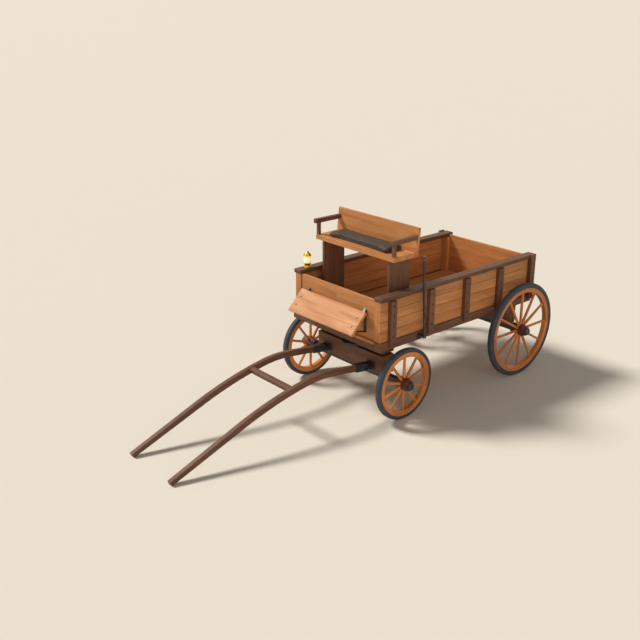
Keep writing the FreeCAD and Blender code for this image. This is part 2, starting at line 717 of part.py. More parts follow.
def brake_bracket():
    """Plate on the sill with a bolt and a boss, in line with the lever, that carry its foot."""
    foot_z = (sill_bottom + sill_top) / 2
    lever_x, lever_y, _ = lever_point(0)
    plate = box(sill_outer, sill_outer + LEVER_PLATE_THICKNESS,
                lever_y - LEVER_PLATE_WIDTH / 2, lever_y + LEVER_PLATE_WIDTH / 2,
                foot_z - LEVER_PLATE_HEIGHT / 2, foot_z + LEVER_PLATE_HEIGHT / 2)
    bolt = rod((sill_outer, lever_y, foot_z), (lever_x + LEVER_RADIUS, lever_y, foot_z), LEVER_BOLT_RADIUS)
    length = math.dist(lever_point(0), lever_point(1))
    cup = rod(lever_point(-LEVER_CUP_DEPTH / length), lever_point(0), LEVER_RADIUS + LEVER_CUP_WALL)
    return plate.fuse(bolt).fuse(cup).removeSplitter()


# Running gear.

def wheel(radius, tyre_depth, spoke_count):
    """Pieces of a left wheel about the X axis: tyre, rim, spokes, hub and hub cap."""
    rim_outer = radius - tyre_depth
    rim_inner = rim_outer - RIM_DEPTH
    tyre = turned_polygon([
        (-TYRE_WIDTH / 2, rim_outer), (TYRE_WIDTH / 2, rim_outer), (TYRE_WIDTH / 2, radius),
        (-TYRE_WIDTH / 2, radius),
    ])
    tread_edges = [e for e in tyre.Edges if e.Closed and abs(e.Curve.Radius - radius) < 1]
    tyre = tyre.makeFillet(TYRE_ROUNDING, tread_edges)
    rim = turned_polygon([
        (-RIM_WIDTH / 2, rim_inner), (RIM_WIDTH / 2, rim_inner), (RIM_WIDTH / 2, rim_outer),
        (-RIM_WIDTH / 2, rim_outer),
    ])
    inner_edges = [e for e in rim.Edges if e.Closed and abs(e.Curve.Radius - rim_inner) < 1]
    rim = rim.makeFillet(RIM_ROUNDING, inner_edges)
    return {
        "tyre": tyre,
        "rim": rim,
        "spokes": spokes(rim_inner, spoke_count),
        "hub": hub(),
        "hub_cap": hub_cap(),
    }


def oval(radius, width, depth):
    """Elliptical wire across a spoke at a radius, deeper along the axle than round the wheel."""
    plane_x = FreeCAD.Vector(1, 0, 0)
    normal = FreeCAD.Vector(0, 0, 1)
    centre = FreeCAD.Vector(0, 0, radius)
    ellipse = Part.Ellipse(centre + plane_x * (depth / 2), centre + normal.cross(plane_x) * (width / 2), centre)
    return Part.Wire(ellipse.toShape())


def spokes(rim_inner, count):
    """Tapered oval spokes, one upright, between the hub and the rim."""
    start = HUB_RADIUS / 2
    end = rim_inner + RIM_DEPTH / 2
    blank = Part.makeLoft([oval(start, SPOKE_WIDTH_HUB, SPOKE_DEPTH_HUB),
                           oval(end, SPOKE_WIDTH_RIM, SPOKE_DEPTH_RIM)], True, True)
    length = 2 * HUB_RADIUS
    axis = FreeCAD.Vector(1, 0, 0)
    low = FreeCAD.Vector(-length / 2, 0, 0)
    inside_rim = Part.makeCylinder(rim_inner - SPOKE_FIT, length, low, axis)
    outside_hub = Part.makeCylinder(HUB_RADIUS + SPOKE_FIT, length, low, axis)
    spoke = blank.common(inside_rim).cut(outside_hub)
    solids = []
    for i in range(count):
        copy = spoke.copy()
        copy.rotate(FreeCAD.Vector(), axis, 360.0 * i / count)
        solids.append(copy)
    return Part.makeCompound(solids)


def hub():
    """Turned wooden hub: a band for the spokes, barrel ends, and a bore for the spindle."""
    bore = SPINDLE_RADIUS + SPINDLE_FIT
    half_band = HUB_BAND / 2

    def corner(x, radius):
        return FreeCAD.Vector(x, 0, radius)

    def barrel(x0, r0, x1, r1):
        swell = HUB_SWELL * (HUB_RADIUS - min(r0, r1))
        middle = corner((x0 + x1) / 2, (r0 + r1) / 2 + swell)
        return Part.Arc(corner(x0, r0), middle, corner(x1, r1)).toShape()

    inner_end = corner(-HUB_INNER_LENGTH, HUB_INNER_RADIUS)
    outer_end = corner(HUB_OUTER_LENGTH, HUB_OUTER_RADIUS)
    profile = [
        Part.makeLine(corner(-HUB_INNER_LENGTH, bore), inner_end),
        barrel(-HUB_INNER_LENGTH, HUB_INNER_RADIUS, -half_band, HUB_RADIUS),
        Part.makeLine(corner(-half_band, HUB_RADIUS), corner(half_band, HUB_RADIUS)),
        barrel(half_band, HUB_RADIUS, HUB_OUTER_LENGTH, HUB_OUTER_RADIUS),
        Part.makeLine(outer_end, corner(HUB_OUTER_LENGTH, bore)),
        Part.makeLine(corner(HUB_OUTER_LENGTH, bore), corner(-HUB_INNER_LENGTH, bore)),
    ]
    return turned(profile)


def hub_cap():
    """Iron cap over the spindle's end."""
    inner = CAP_RADIUS - CAP_WALL
    rear = HUB_OUTER_LENGTH
    front = rear + CAP_LENGTH
    round_off = CAP_WALL
    return turned_polygon([
        (rear, inner), (rear, CAP_RADIUS), (front - round_off, CAP_RADIUS), (front, CAP_RADIUS - round_off),
        (front, 0), (front - CAP_WALL, 0), (front - CAP_WALL, inner),
    ])


def axle(wheel_x, y, z):
    """Square axle beam with a round spindle in each hub."""
    beam_half = wheel_x - HUB_INNER_LENGTH - AXLE_TO_HUB
    spindle_end = wheel_x + HUB_OUTER_LENGTH + SPINDLE_PAST_HUB
    side = AXLE_SECTION / 2
    bar = box(-beam_half, beam_half, y - side, y + side, z - side, z + side)
    return bar.fuse(rod((-spindle_end, y, z), (spindle_end, y, z), SPINDLE_RADIUS)).removeSplitter()


def kingpin_hole(z0, z1):
    """Clearance hole for the kingpin."""
    return rod((0, FRONT_AXLE_Y, z0), (0, FRONT_AXLE_Y, z1), KINGPIN_RADIUS + KINGPIN_FIT)


def front_bolster():
    """Timber under the sills, over the turntable."""
    half = half_body - FRONT_BOLSTER_INSET
    side = FRONT_BOLSTER_LENGTH / 2
    block = beam(-half, half, FRONT_AXLE_Y - side, FRONT_AXLE_Y + side, bolster_bottom, sill_bottom)
    return block.cut(kingpin_hole(bolster_bottom, bolster_bottom + KINGPIN_IN_BOLSTER))


def turntable_top():
    """Upper turntable plate, forged with the kingpin, which has a nut under the axle."""
    plate = rod((0, FRONT_AXLE_Y, bolster_bottom - TURNTABLE_PLATE), (0, FRONT_AXLE_Y, bolster_bottom),
                TURNTABLE_RADIUS)
    nut_top = FRONT_WHEEL_RADIUS - AXLE_SECTION / 2 - KINGPIN_NUT_GAP
    pin = rod((0, FRONT_AXLE_Y, nut_top - KINGPIN_NUT_HEIGHT),
              (0, FRONT_AXLE_Y, bolster_bottom + KINGPIN_IN_BOLSTER), KINGPIN_RADIUS)
    nut = rod((0, FRONT_AXLE_Y, nut_top - KINGPIN_NUT_HEIGHT), (0, FRONT_AXLE_Y, nut_top), KINGPIN_NUT_RADIUS)
    return plate.fuse(pin).fuse(nut).removeSplitter()


def turntable_bottom():
    """Lower turntable plate, on the axle bed."""
    plate = rod((0, FRONT_AXLE_Y, bed_top), (0, FRONT_AXLE_Y, bed_top + TURNTABLE_PLATE), TURNTABLE_RADIUS)
    return plate.cut(kingpin_hole(bed_top, bed_top + TURNTABLE_PLATE))


def axle_bed():
    """Timber between the front axle and the turntable."""
    half = half_body - FRONT_BOLSTER_INSET
    side = FRONT_BOLSTER_LENGTH / 2
    block = beam(-half, half, FRONT_AXLE_Y - side, FRONT_AXLE_Y + side, bed_bottom, bed_top)
    return block.cut(kingpin_hole(bed_bottom, bed_top))


def front_axle():
    """Front axle with the kingpin's hole."""
    bar = axle(front_wheel_x, FRONT_AXLE_Y, FRONT_WHEEL_RADIUS)
    return bar.cut(kingpin_hole(FRONT_WHEEL_RADIUS - AXLE_SECTION, FRONT_WHEEL_RADIUS + AXLE_SECTION))


def rear_bolster():
    """Timber between the rear axle and the sills."""
    half = half_body + REAR_BOLSTER_OUTSET
    side = REAR_BOLSTER_LENGTH / 2
    return beam(-half, half, rear_axle_y - side, rear_axle_y + side,
                REAR_WHEEL_RADIUS + AXLE_SECTION / 2, sill_bottom)


def reach_pole():
    """Pole between the two bolsters."""
    high = sill_bottom - REACH_UNDER_SILL
    return box(-REACH_WIDTH / 2, REACH_WIDTH / 2, FRONT_AXLE_Y + FRONT_BOLSTER_LENGTH / 2,
               rear_axle_y - REAR_BOLSTER_LENGTH / 2, high - REACH_HEIGHT, high)


# Tailgate. Its hinge pins lie behind the rear sill.

tailgate_rear = BODY_LENGTH - TAILGATE_SETBACK
tailgate_bottom = sill_top + TAILGATE_CLEARANCE
hinge_y = BODY_LENGTH + SILL_LEDGE + HINGE_PLATE + HINGE_GAP + KNUCKLE_RADIUS
hinge_z = tailgate_bottom


def tailgate_panel():
    """Panel that closes the rear end between the rails."""
    half = rail_inner - TAILGATE_CLEARANCE
    return beam(-half, half, tailgate_rear - BOARD_THICKNESS, tailgate_rear, tailgate_bottom,
                side_top + TAILGATE_RISE, SMALL_EASED_EDGE)


def tailgate_strap():
    """Left hinge strap: up the panel's face, out over the sill's ledge, and round the pin."""
    face = tailgate_rear
    outline = [
        (face, tailgate_bottom), (face, tailgate_bottom + STRAP_LENGTH),
        (face + STRAP_THICKNESS, tailgate_bottom + STRAP_LENGTH),
        (face + STRAP_THICKNESS, tailgate_bottom + STRAP_THICKNESS),
        (hinge_y, tailgate_bottom + STRAP_THICKNESS), (hinge_y, tailgate_bottom),
    ]
    x0 = HINGE_X - STRAP_WIDTH / 2
    x1 = HINGE_X + STRAP_WIDTH / 2
    strap = prism_x(outline, x0, x1).fuse(rod((x0, hinge_y, hinge_z), (x1, hinge_y, hinge_z), KNUCKLE_RADIUS))
    bore = rod((x0, hinge_y, hinge_z), (x1, hinge_y, hinge_z), HINGE_PIN_RADIUS + PIN_FIT)
    return strap.cut(bore).removeSplitter()


def hinge_bracket():
    """Left hinge bracket: plate on the rear sill, two ears and the pin."""
    half = STRAP_WIDTH / 2 + HINGE_GAP
    sill_rear = BODY_LENGTH + SILL_LEDGE
    top = hinge_z - KNUCKLE_RADIUS
    plate = box(HINGE_X - half - HINGE_EAR, HINGE_X + half + HINGE_EAR, sill_rear, sill_rear + HINGE_PLATE,
                sill_top - HINGE_PLATE_HEIGHT, sill_top)
    shape = plate
    for x0 in (HINGE_X - half - HINGE_EAR, HINGE_X + half):
        ear = box(x0, x0 + HINGE_EAR, sill_rear, hinge_y, top, sill_top)
        eye = rod((x0, hinge_y, hinge_z), (x0 + HINGE_EAR, hinge_y, hinge_z), KNUCKLE_RADIUS)
        shape = shape.fuse(ear).fuse(eye)
    pin = rod((HINGE_X - half - HINGE_EAR, hinge_y, hinge_z), (HINGE_X + half + HINGE_EAR, hinge_y, hinge_z),
              HINGE_PIN_RADIUS)
    return shape.fuse(pin).removeSplitter()


def wagon_nodes():
    """Every node and its solids."""
    nodes = {
        "floor_boards": floor_boards(),
        "side_sills": side_sills(),
        "cross_sills": cross_sills(),
        "left_side_boards": side_boards(),
        "right_side_boards": [mirrored(board) for board in side_boards()],
        "side_posts": side_posts(),
        "top_rails": top_rails(),
        "corner_cleats": corner_cleats(),
        "front_panel": [front_panel()],
        "footboard": [footboard()],
        "footboard_brackets": both_sides(footboard_brackets()),
        "seat_risers": seat_risers(),
        "seat_board": [seat_board()],
        "seat_back": [seat_back()],
        "armrests": both_sides(armrest()),
        "seat_cushion": [seat_cushion()],
        "lantern_metal": lantern_metal(),
        "lantern_glass": [lantern_glass()],
        "brake_lever": [brake_lever()],
        "brake_grip": [brake_grip()],
        "brake_bracket": [brake_bracket()],
        "front_bolster": [front_bolster()],
        "turntable_top": [turntable_top()],
        "rear_bolster": [rear_bolster()],
        "rear_axle": [axle(rear_wheel_x, rear_axle_y, REAR_WHEEL_RADIUS)],
        "reach_pole": [reach_pole()],
        "hinge_brackets": both_sides(hinge_bracket()),
        "turntable_bottom": [turntable_bottom()],
        "axle_bed": [axle_bed()],
        "front_axle": [front_axle()],
        "shaft_couplings": both_sides(clip()),
        "left_shaft": [shaft_wood()],
        "right_shaft": [mirrored(shaft_wood())],
        "shaft_sockets": both_sides(shaft_socket()),
        "shaft_crossbar": [crossbar()],
        "tailgate_panel": [tailgate_panel()],
        "tailgate_straps": both_sides(tailgate_strap()),
    }
    places = {
        "front": (front_wheel_x, FRONT_AXLE_Y, FRONT_WHEEL_RADIUS, FRONT_TYRE_DEPTH, FRONT_SPOKES),
        "rear": (rear_wheel_x, rear_axle_y, REAR_WHEEL_RADIUS, REAR_TYRE_DEPTH, REAR_SPOKES),
    }
    for end, (x, y, radius, tyre_depth, spoke_count) in places.items():
        for piece, shape in wheel(radius, tyre_depth, spoke_count).items():
            shape.translate(FreeCAD.Vector(x, y, radius))
            nodes[f"{end}_left_{piece}"] = shape.Solids
            nodes[f"{end}_right_{piece}"] = mirrored(shape).Solids
    return nodes


def main():
    """Write one STEP file for each node, with the origin under the middle of the wagon."""
    os.makedirs("parts", exist_ok=True)
    rearmost = max(rear_axle_y + REAR_WHEEL_RADIUS, BODY_LENGTH + RAIL_REAR_OVERHANG)
    middle = (tip_front() + rearmost) / 2
    nodes = wagon_nodes()
    for node, solids in nodes.items():
        shape = solids[0] if len(solids) == 1 else Part.makeCompound(solids)
        shape.translate(FreeCAD.Vector(0, -middle, 0))
        if not shape.isValid():
            print("not valid:", node)
        shape.exportStep(f"parts/{node}.step")
    print(len(nodes), "nodes, middle of the wagon at y =", round(middle, 3), "parked", round(parked, 3))


main()
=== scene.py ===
import json
import math

import bpy
import numpy as np
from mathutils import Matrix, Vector
from mathutils.bvhtree import BVHTree


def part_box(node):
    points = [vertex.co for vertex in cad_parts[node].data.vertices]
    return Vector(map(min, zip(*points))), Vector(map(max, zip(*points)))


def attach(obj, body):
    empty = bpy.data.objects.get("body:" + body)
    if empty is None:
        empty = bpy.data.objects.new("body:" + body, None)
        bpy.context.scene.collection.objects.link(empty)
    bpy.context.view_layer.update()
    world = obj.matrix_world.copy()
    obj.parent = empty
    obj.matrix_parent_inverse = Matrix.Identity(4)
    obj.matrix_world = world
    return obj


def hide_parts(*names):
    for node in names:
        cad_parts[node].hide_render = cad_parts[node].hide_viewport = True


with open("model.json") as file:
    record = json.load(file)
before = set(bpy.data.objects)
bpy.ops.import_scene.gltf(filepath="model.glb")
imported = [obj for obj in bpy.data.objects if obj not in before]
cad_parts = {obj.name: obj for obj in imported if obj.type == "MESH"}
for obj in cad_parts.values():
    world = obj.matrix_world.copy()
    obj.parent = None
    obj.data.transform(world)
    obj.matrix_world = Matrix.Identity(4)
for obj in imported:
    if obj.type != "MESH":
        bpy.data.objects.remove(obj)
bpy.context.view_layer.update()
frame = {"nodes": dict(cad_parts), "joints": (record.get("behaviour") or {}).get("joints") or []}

# Light farm wagon, in metres. +Z is up, the wagon faces -Y, and its left side is +X.
# The CAD pieces get their finishes here. Added to them are crowned tyres, bands on the hubs, bolt heads,
# the lantern's turned brasswork and a stuffed cushion with piping.

# Boards: how many lie side by side, and the seam between them.
BOARD_SEAM = 0.003
SIDE_BOARD_COUNT = 4
FLOOR_BOARD_COUNT = 9

# Cells WHOLE long that start FAR off leave a node in one tone along that axis. Cells that start at 0
# part it there.
WHOLE = 50.0
FAR = -20.0

# Wheels: spokes, and the tyre's depth on the rim and its profile.
WHEEL_SPOKES = {"front": 10, "rear": 12}
TYRE_DEPTH = {"front": 0.038, "rear": 0.052}
TYRE_HALF_WIDTH = 0.032
TYRE_SEAT_EDGE = 0.002
TYRE_SIDE_FOOT = 0.004
TYRE_CROWN_POWER = 0.55
TYRE_SIDES = 160
# Hub bands: start and end along the axle, outward from the wheel's middle, and radius.
HUB_BANDS = ((-0.099, -0.086, 0.054), (0.075, 0.089, 0.051))
HUB_BAND_DEPTH = 0.006
HUB_BAND_SIDES = 64

# Bolt heads: radius and height of each kind.
POST_BOLT = (0.0075, 0.006)
FOOTBOARD_BOLT = (0.007, 0.005)
PLATE_BOLT = (0.007, 0.006)
STRAP_BOLT = (0.0065, 0.0045)
WASHER_SHARE = 1.35
WASHER_HEIGHT_SHARE = 0.25
DOME_SIDES = 14
DOME_ANGLES = 5

# Places of the posts, the footboard, the brake plate and the tailgate straps.
POST_COUNT = 5
FIRST_POST_Y = -0.020313
POST_SPACING = 0.54
POST_FACE_X = 0.688
LAST_POST_FACE_X = 0.692
POST_TONGUE_BOLT_Z = 0.823
FOOTBOARD_TOP = (-0.210313, 1.139)
FOOTBOARD_BOTTOM = (-0.398313, 0.944)
FOOTBOARD_BOLT_X = 0.425
FOOTBOARD_BOLT_SHARES = (0.32, 0.68)
PLATE_FACE = (0.666, 0.399687, 0.8035)
PLATE_BOLT_OFFSET = 0.04
STRAP_X = 0.33
STRAP_FACE_Y = 2.168687
STRAP_FOOT_Z = 0.853
STRAP_BOLT_HEIGHTS = (0.06, 0.17, 0.29)

# Lantern: (height, radius) outlines of the base and the cap, and the middle of the glass.
LANTERN_PLACE = (-0.6085, -0.031313, 1.305)
LANTERN_BASE = (
    (0, 0), (0, 0.040), (0.006, 0.040), (0.010, 0.037), (0.014, 0.034), (0.022, 0.0325),
    (0.034, 0.0325), (0.039, 0.035), (0.043, 0.0385), (0.046, 0.040), (0.050, 0.040), (0.050, 0),
)
LANTERN_CAP = (
    (0.126, 0), (0.126, 0.043), (0.130, 0.043), (0.134, 0.0405), (0.142, 0.035), (0.150, 0.0305),
    (0.155, 0.0255), (0.159, 0.021), (0.163, 0.018), (0.166, 0.0155), (0.169, 0.013), (0.171, 0.009),
    (0.171, 0),
)
LANTERN_SIDES = 64
GLASS_MIDDLE_Z = 1.393
GLASS_HALF_HEIGHT = 0.04

# Cushion: how much smaller its cover starts, how close it may come to its space's sides, and its piping.
COVER_INSET_LOW = Vector((0.012, 0.010, 0.004))
COVER_INSET_HIGH = Vector((0.012, 0.010, 0.010))
COVER_POWER = 0.2
COVER_VOXEL = 0.006
CLOTH_PRESSURE = 4.0
CLOTH_STIFFNESS = 0.6
CLOTH_FRAMES = 20
SPACE_MARGIN_LOW = (0.003, 0.003, 0.0003)
SPACE_MARGIN_HIGH = (0.003, 0.003, 0.0006)
PIPING_RADIUS = 0.0033
PIPING_LOW = 0.011
PIPING_HIGH = 0.012
PIPING_MARGIN = 0.0036
PIPING_POINTS = 180
RAY_START_X = 0.8
RAY_START_Y = 0.25
RAY_START_POWER = 0.5
RAY_AIM_SHARE = 0.78

# Camera, light and floor.
CAMERA_PLACE = (6.323, -5.7743, 4.103)
CAMERA_TARGET = (0.0, -0.3758, 0.9626)
CAMERA_LENS = 50.0
CAMERA_SENSOR = 36.0
SUN = {"travel": (0.82, 0.50, -1.0), "energy": 3.2, "spread": 14, "colour": (1.0, 0.97, 0.92)}
FILL = {"travel": (-0.9, 0.45, -0.3), "energy": 0.8, "spread": 50, "colour": (1.0, 0.96, 0.9)}
SKY_LIGHT = (1.0, 0.97, 0.93, 1.0)
SKY_STRENGTH = 0.2
GROUND_HALF = 600.0


def linear(red, green, blue):
    """Linear colour with alpha from 0-255 display values, by the display curve's inverse."""
    def one(value):
        value = value / 255
        return value / 12.92 if value <= 0.04045 else ((value + 0.055) / 1.055) ** 2.4
    return (one(red), one(green), one(blue), 1.0)


def scaled(colour, factor):
    """Colour with its red, green and blue multiplied, and full alpha."""
    return tuple(factor * value for value in colour[:3]) + (1.0,)


LIGHT = linear(209, 144, 86)
LIGHT_DARK = linear(170, 107, 59)
DARK = linear(124, 82, 57)
DARK_DARK = linear(88, 56, 39)
RAIL = linear(108, 74, 50)
RAIL_DARK = linear(78, 51, 35)
WHEEL = linear(222, 140, 72)
WHEEL_DARK = linear(180, 104, 52)
HUB = linear(110, 58, 44)
HUB_DARK = linear(78, 40, 32)
GRIP = linear(126, 74, 46)
GRIP_DARK = linear(92, 52, 34)
IRON = linear(62, 62, 66)
RUBBER = linear(58, 64, 76)
LEATHER = linear(56, 47, 42)
BRASS = linear(214, 172, 74)
BRASS_TARNISH = linear(142, 104, 44)
GLASS = linear(255, 246, 206)
GLASS_WARM = linear(250, 232, 170)
GLOW = linear(255, 236, 160)
FLOOR_COLOUR = linear(234, 227, 213)
BACKGROUND = linear(242, 232, 214)
DUST = (0.16, 0.145, 0.125)


# Materials.

class Sheet:
    """One material's node tree, with short calls that add a node and return its output."""

    def __init__(self, name):
        self.material = bpy.data.materials.new(name)
        self.material.use_nodes = True
        self.tree = self.material.node_tree
        self.shader = self.tree.nodes["Principled BSDF"]

    def node(self, kind, **settings):
        made = self.tree.nodes.new(kind)
        for key, value in settings.items():
            setattr(made, key, value)
        return made

    def link(self, value, socket):
        """Link an output to the socket, or set the socket to a plain value."""
        if isinstance(value, bpy.types.NodeSocket):
            self.tree.links.new(value, socket)
        else:
            socket.default_value = value

    def maths(self, operation, a, b=0.0):
        made = self.node("ShaderNodeMath", operation=operation)
        self.link(a, made.inputs[0])
        self.link(b, made.inputs[1])
        return made.outputs[0]

    def vector(self, operation, a, b=(0.0, 0.0, 0.0)):
        made = self.node("ShaderNodeVectorMath", operation=operation)
        self.link(a, made.inputs[0])
        self.link(b, made.inputs[1])
        return made.outputs["Vector"]

    def place(self):
        return self.node("ShaderNodeTexCoord").outputs["Object"]

    def split(self, vector):
        made = self.node("ShaderNodeSeparateXYZ")
        self.link(vector, made.inputs[0])
        return made.outputs

    def join(self, x, y, z):
        made = self.node("ShaderNodeCombineXYZ")
        for value, socket in zip((x, y, z), made.inputs):
            self.link(value, socket)
        return made.outputs[0]

    def noise(self, vector, scale, detail=3.0, roughness=0.55, distortion=0.0):
        made = self.node("ShaderNodeTexNoise")
        self.link(vector, made.inputs["Vector"])
        made.inputs["Scale"].default_value = scale
        made.inputs["Detail"].default_value = detail
        made.inputs["Roughness"].default_value = roughness
        made.inputs["Distortion"].default_value = distortion
        return made.outputs["Fac"]

    def blend(self, share, a, b, how="MIX"):
        made = self.node("ShaderNodeMix", data_type="RGBA", blend_type=how)
        self.link(share, made.inputs["Factor"])
        self.link(a, made.inputs["A"])
        self.link(b, made.inputs["B"])
        return made.outputs["Result"]

    def spread(self, value, low, high, to_low=0.0, to_high=1.0):
        """Map low..high to to_low..to_high, held at both ends."""
        made = self.node("ShaderNodeMapRange")
        for given, socket in zip((value, low, high, to_low, to_high), made.inputs):
            self.link(given, socket)
        return made.outputs["Result"]

    def bump(self, height, strength, distance):
        made = self.node("ShaderNodeBump")
        made.inputs["Strength"].default_value = strength
        made.inputs["Distance"].default_value = distance
        self.link(height, made.inputs["Height"])
        self.tree.links.new(made.outputs["Normal"], self.shader.inputs["Normal"])

    def finish(self, colour, roughness, metallic=0.0, specular=0.35):
        self.link(colour, self.shader.inputs["Base Color"])
        self.link(roughness, self.shader.inputs["Roughness"])
        self.shader.inputs["Metallic"].default_value = metallic
        self.shader.inputs["Specular IOR Level"].default_value = specular
        return self.material


def grained(sheet, place, cell_value, light, dark, rough, pores=0.35):
    """Timber finish on coordinates whose first axis runs along the grain: long soft streaks,
    narrow dark pores, a faint cloud of wear, and a lighter or darker tone for each board."""
    offset = sheet.join(sheet.maths("MULTIPLY", cell_value, 9.7),
                        sheet.maths("MULTIPLY", cell_value, 3.9),
                        sheet.maths("MULTIPLY", cell_value, 6.1))
    shifted = sheet.vector("ADD", place, offset)
    streak = sheet.noise(sheet.vector("MULTIPLY", shifted, (1.3, 17.0, 17.0)), 1.0, 4.0, 0.6, 0.6)
    fine = sheet.noise(sheet.vector("MULTIPLY", shifted, (6.0, 190.0, 190.0)), 1.0, 2.0, 0.5)
    cloud = sheet.noise(shifted, 2.2, 3.0, 0.5)
    tone = sheet.blend(sheet.spread(streak, 0.3, 0.72), light, dark)
    pore = sheet.maths("MULTIPLY", sheet.spread(fine, 0.56, 0.74), pores)
    tone = sheet.blend(pore, tone, scaled(dark, 0.55))
    board = sheet.spread(cell_value, 0.0, 1.0, 0.86, 1.1)
    worn = sheet.spread(cloud, 0.3, 0.7, 0.93, 1.06)
    level = sheet.maths("MULTIPLY", board, worn)
    tone = sheet.blend(1.0, tone, sheet.join(level, level, level), "MULTIPLY")
    sheet.bump(sheet.maths("ADD", streak, sheet.maths("MULTIPLY", fine, 0.5)), 0.22, 0.0012)
    return sheet.finish(tone, sheet.spread(streak, 0.3, 0.7, rough, rough + 0.12))


def timber(name, tones, grain, cell=(WHOLE, WHOLE, WHOLE), start=(0.0, 0.0, 0.0), rough=0.5):
    """Sawn timber with the grain along one axis. Space is cut in cells from the start point, and
    each cell has its own tone and its own shift of the grain."""
    sheet = Sheet(name)
    place = sheet.place()
    x, y, z = sheet.split(place)
    order = {"X": (x, y, z), "Y": (y, z, x), "Z": (z, x, y)}[grain]
    cells = sheet.vector("DIVIDE", sheet.vector("SUBTRACT", place, start), cell)
    random = sheet.node("ShaderNodeTexWhiteNoise", noise_dimensions="3D")
    sheet.link(sheet.vector("FLOOR", cells), random.inputs["Vector"])
    return grained(sheet, sheet.join(*order), random.outputs["Value"], *tones, rough)


def wheel_timber(name, centre, parts, radial):
    """Timber of a wheel. Round the rim the grain follows the circle, with a dark joint between
    felloes; in a spoke it runs outward from the hub, each spoke with its own tone."""
    sheet = Sheet(name)
    x, y, z = sheet.split(sheet.place())
    across = sheet.maths("SUBTRACT", y, centre.y)
    up = sheet.maths("SUBTRACT", z, centre.z)
    radius = sheet.maths("SQRT", sheet.maths("ADD", sheet.maths("MULTIPLY", across, across),
                                             sheet.maths("MULTIPLY", up, up)))
    turn = sheet.maths("DIVIDE", sheet.maths("ARCTAN2", across, up), 2 * math.pi)
    steps = sheet.maths("MULTIPLY", sheet.maths("ADD", turn, 1.0), float(parts))
    shifted = sheet.maths("ADD", steps, 0.5)
    index = sheet.maths("MODULO", sheet.maths("FLOOR", shifted), float(parts))
    random = sheet.node("ShaderNodeTexWhiteNoise", noise_dimensions="1D")
    sheet.link(sheet.maths("ADD", index, 3.0), random.inputs["W"])
    round_way = sheet.maths("MULTIPLY", sheet.maths("MULTIPLY", turn, 2 * math.pi), 0.4)
    along = sheet.join(radius, x, round_way) if radial else sheet.join(round_way, x, radius)
    made = grained(sheet, along, random.outputs["Value"], WHEEL, WHEEL_DARK, 0.42, 0.25)
    if not radial:
        within = sheet.maths("FRACT", shifted)
        edge = sheet.maths("MINIMUM", within, sheet.maths("SUBTRACT", 1.0, within))
        joint = sheet.spread(edge, 0.002, 0.006, 0.75, 0.0)
        base = sheet.shader.inputs["Base Color"]
        sheet.link(sheet.blend(joint, base.links[0].from_socket, scaled(WHEEL_DARK, 0.25)), base)
    return made


def hub_timber(name, centre):
    """Hub timber, with the grain along the axle."""
    sheet = Sheet(name)
    x, y, z = sheet.split(sheet.place())
    along = sheet.join(x, sheet.maths("SUBTRACT", y, centre.y), sheet.maths("SUBTRACT", z, centre.z))
    return grained(sheet, along, 0.5, HUB, HUB_DARK, 0.4, 0.3)


def forged(name):
    """Forged and blackened iron: hammer marks, soft blotches of scale and a few rubbed patches."""
    sheet = Sheet(name)
    place = sheet.place()
    blotch = sheet.noise(place, 14.0, 5.0, 0.6)
    marks = sheet.noise(place, 70.0, 3.0, 0.5)
    tone = sheet.blend(sheet.spread(blotch, 0.45, 0.75), IRON, scaled(IRON, 2.1))
    sheet.bump(sheet.maths("ADD", marks, blotch), 0.25, 0.0008)
    return sheet.finish(tone, sheet.spread(blotch, 0.3, 0.7, 0.62, 0.44), 0.75, 0.5)


def rubber(name):
    """Matt solid rubber with a dusting of dry dirt in a slow noise, and a fine moulded bump."""
    sheet = Sheet(name)
    place = sheet.place()
    dust = sheet.noise(place, 6.0, 5.0, 0.6)
    grain = sheet.noise(place, 240.0, 2.0, 0.5)
    dusty = tuple(0.72 * a + 0.28 * b for a, b in zip(RUBBER[:3], DUST)) + (1.0,)
    tone = sheet.blend(sheet.spread(dust, 0.4, 0.75), RUBBER, dusty)
    sheet.bump(grain, 0.2, 0.0005)
    return sheet.finish(tone, sheet.spread(dust, 0.3, 0.7, 0.62, 0.8), 0.0, 0.3)


def leather(name):
    """Soft dark leather: fine pebbled cells for the bump, with slow changes of tone and sheen."""
    sheet = Sheet(name)
    place = sheet.place()
    cells = sheet.node("ShaderNodeTexVoronoi", feature="DISTANCE_TO_EDGE")
    sheet.link(place, cells.inputs["Vector"])
    cells.inputs["Scale"].default_value = 260.0
    creases = sheet.spread(cells.outputs["Distance"], 0.0, 0.12)
    cloud = sheet.noise(place, 7.0, 4.0, 0.6)
    tone = sheet.blend(sheet.spread(cloud, 0.35, 0.75), LEATHER, scaled(LEATHER, 1.7))
    sheet.bump(creases, 0.25, 0.0006)
    return sheet.finish(tone, sheet.spread(cloud, 0.3, 0.7, 0.5, 0.66), 0.0, 0.35)


def brass(name):
    """Polished brass, with slow tarnish that is darker and rougher."""
    sheet = Sheet(name)
    tarnish = sheet.noise(sheet.place(), 22.0, 4.0, 0.6)
    tone = sheet.blend(sheet.spread(tarnish, 0.45, 0.75), BRASS, BRASS_TARNISH)
    sheet.bump(tarnish, 0.08, 0.0005)
    return sheet.finish(tone, sheet.spread(tarnish, 0.3, 0.7, 0.22, 0.4), 1.0, 0.5)


